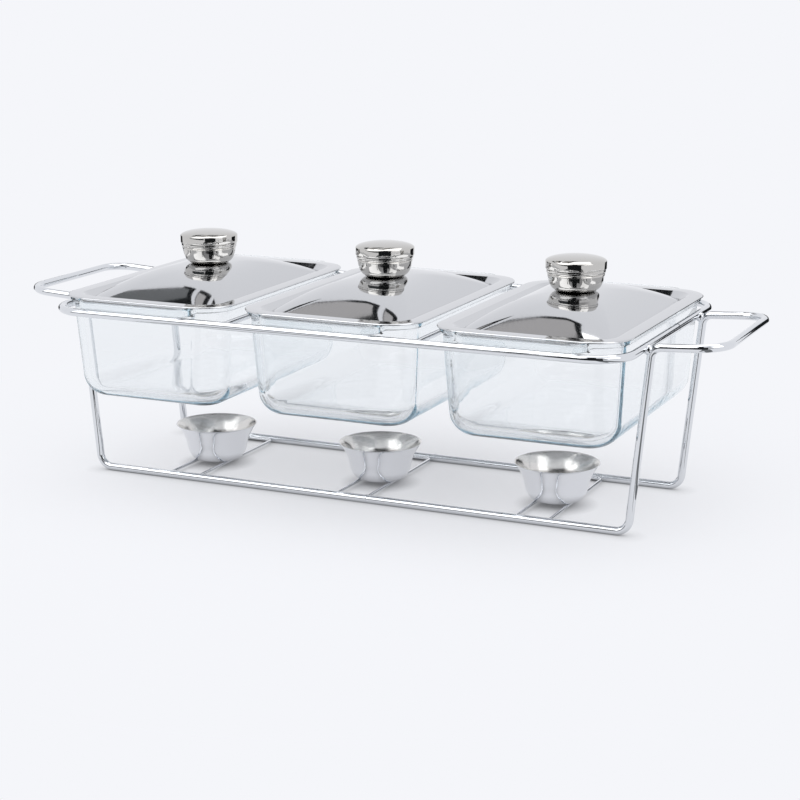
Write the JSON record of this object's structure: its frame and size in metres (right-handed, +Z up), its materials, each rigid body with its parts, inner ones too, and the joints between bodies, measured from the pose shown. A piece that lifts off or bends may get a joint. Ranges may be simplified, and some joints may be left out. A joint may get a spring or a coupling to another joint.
{
  "type": "food warmer",
  "caption": "Table-top food warmer: a chromed wire stand with grips carries a row of lidded glass dishes over small open cups for tealights.",
  "frame": {"origin": "on the table, under the middle of the whole part", "axes": "+X along the row of dishes, +Y from front to back, +Z up"},
  "size_m": [0.671, 0.288, 0.2201],
  "materials": {
    "chromed wire": "bright chrome on round steel wire",
    "clear glass": "clear pressed glass with a faint blue edge",
    "polished lid steel": "mirror polished pressed sheet",
    "polished knob steel": "mirror polished pressed shells",
    "fastener steel": "plain bright steel",
    "satin cup steel": "pressed sheet, bright inside, satin outside"
  },
  "bodies": {
    "stand": {"top_ring": "chromed wire", "leg_frame_left": "chromed wire", "leg_frame_right": "chromed wire", "leg_welds": "chromed wire", "divider_bar_left": "chromed wire", "divider_bar_right": "chromed wire", "cup_rest_left": "chromed wire", "cup_rest_middle": "chromed wire", "cup_rest_right": "chromed wire"},
    "dish_left": {"dish_left": "clear glass"},
    "lid_left": {"lid_left": "polished lid steel", "knob_bowl_left": "polished knob steel", "knob_cap_left": "polished knob steel", "knob_bush_left": "fastener steel", "lid_washer_left": "fastener steel", "lid_screw_left": "fastener steel"},
    "cup_left": {"burner_cup_left": "satin cup steel"},
    "dish_middle": {"dish_middle": "clear glass"},
    "lid_middle": {"lid_middle": "polished lid steel", "knob_bowl_middle": "polished knob steel", "knob_cap_middle": "polished knob steel", "knob_bush_middle": "fastener steel", "lid_washer_middle": "fastener steel", "lid_screw_middle": "fastener steel"},
    "cup_middle": {"burner_cup_middle": "satin cup steel"},
    "dish_right": {"dish_right": "clear glass"},
    "lid_right": {"lid_right": "polished lid steel", "knob_bowl_right": "polished knob steel", "knob_cap_right": "polished knob steel", "knob_bush_right": "fastener steel", "lid_washer_right": "fastener steel", "lid_screw_right": "fastener steel"},
    "cup_right": {"burner_cup_right": "satin cup steel"}
  },
  "joints": [
    {"name": "dish_left_lift", "type": "slide", "parent": "stand", "child": "dish_left", "axis": [0, 0, 1], "range_m": [0, 0.12]},
    {"name": "lid_left_lift", "type": "slide", "parent": "dish_left", "child": "lid_left", "axis": [0, 0, 1], "range_m": [0, 0.1]},
    {"name": "cup_left_slide", "type": "slide", "parent": "stand", "child": "cup_left", "axis": [0, 1, 0], "range_m": [-0.0395, 0.0605]},
    {"name": "dish_middle_lift", "type": "slide", "parent": "stand", "child": "dish_middle", "axis": [0, 0, 1], "range_m": [0, 0.12]},
    {"name": "lid_middle_lift", "type": "slide", "parent": "dish_middle", "child": "lid_middle", "axis": [0, 0, 1], "range_m": [0, 0.1]},
    {"name": "cup_middle_slide", "type": "slide", "parent": "stand", "child": "cup_middle", "axis": [0, 1, 0], "range_m": [-0.0395, 0.0605]},
    {"name": "dish_right_lift", "type": "slide", "parent": "stand", "child": "dish_right", "axis": [0, 0, 1], "range_m": [0, 0.12]},
    {"name": "lid_right_lift", "type": "slide", "parent": "dish_right", "child": "lid_right", "axis": [0, 0, 1], "range_m": [0, 0.1]},
    {"name": "cup_right_slide", "type": "slide", "parent": "stand", "child": "cup_right", "axis": [0, 1, 0], "range_m": [-0.0395, 0.0605]}
  ]
}
